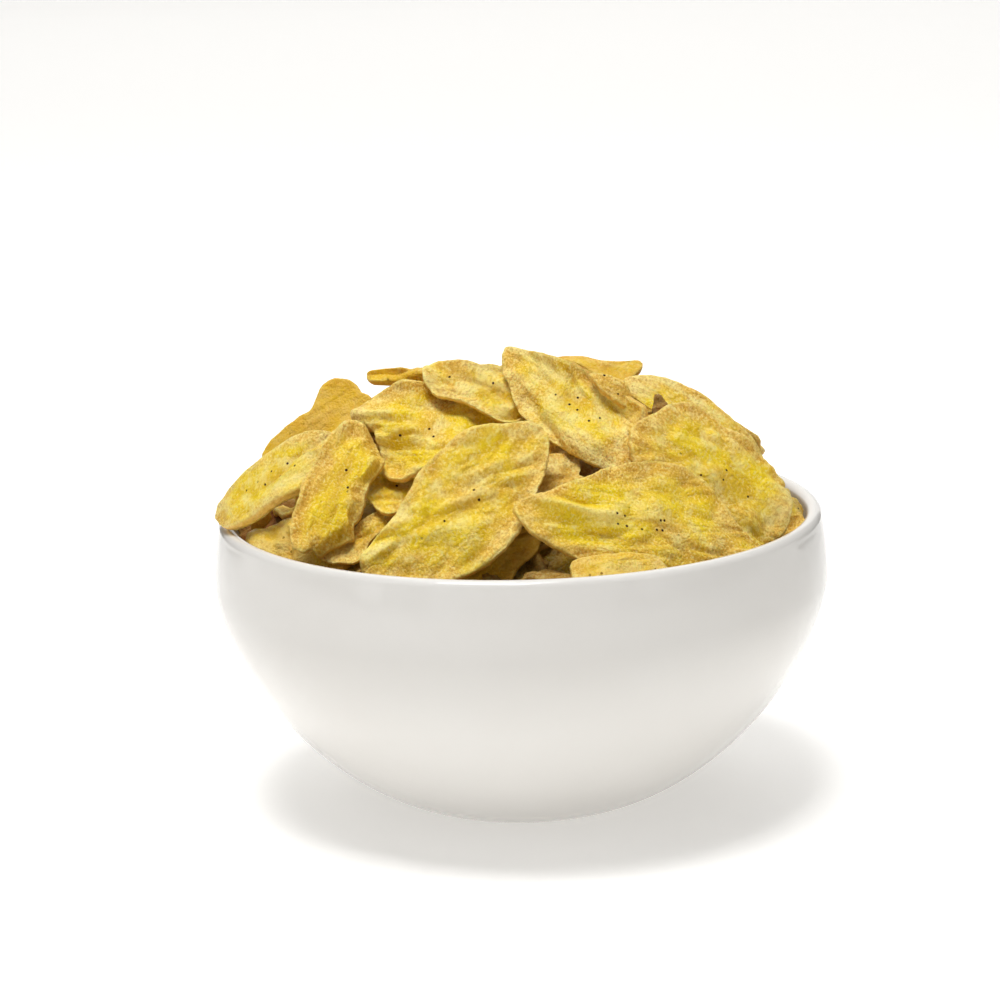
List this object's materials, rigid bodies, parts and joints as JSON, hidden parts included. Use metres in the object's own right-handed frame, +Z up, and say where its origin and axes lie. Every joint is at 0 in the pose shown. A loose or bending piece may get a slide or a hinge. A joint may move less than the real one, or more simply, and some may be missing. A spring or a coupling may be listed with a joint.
{
  "type": "bowl of banana chips",
  "caption": "Round white glazed bowl heaped above its rim with long, wavy slices of fried banana cut on the bias.",
  "frame": {"origin": "middle of the bowl's foot, on the surface it stands on", "axes": "+Z up along the bowl's axis; -Y towards the viewer of the picture; +X to that viewer's right"},
  "size_m": [0.15, 0.15, 0.1147],
  "materials": {
    "white_glaze": "gloss",
    "fried_banana": "satin"
  },
  "bodies": {
    "root": {"bowl": "white_glaze", "banana_chips": "fried_banana"}
  },
  "joints": []
}
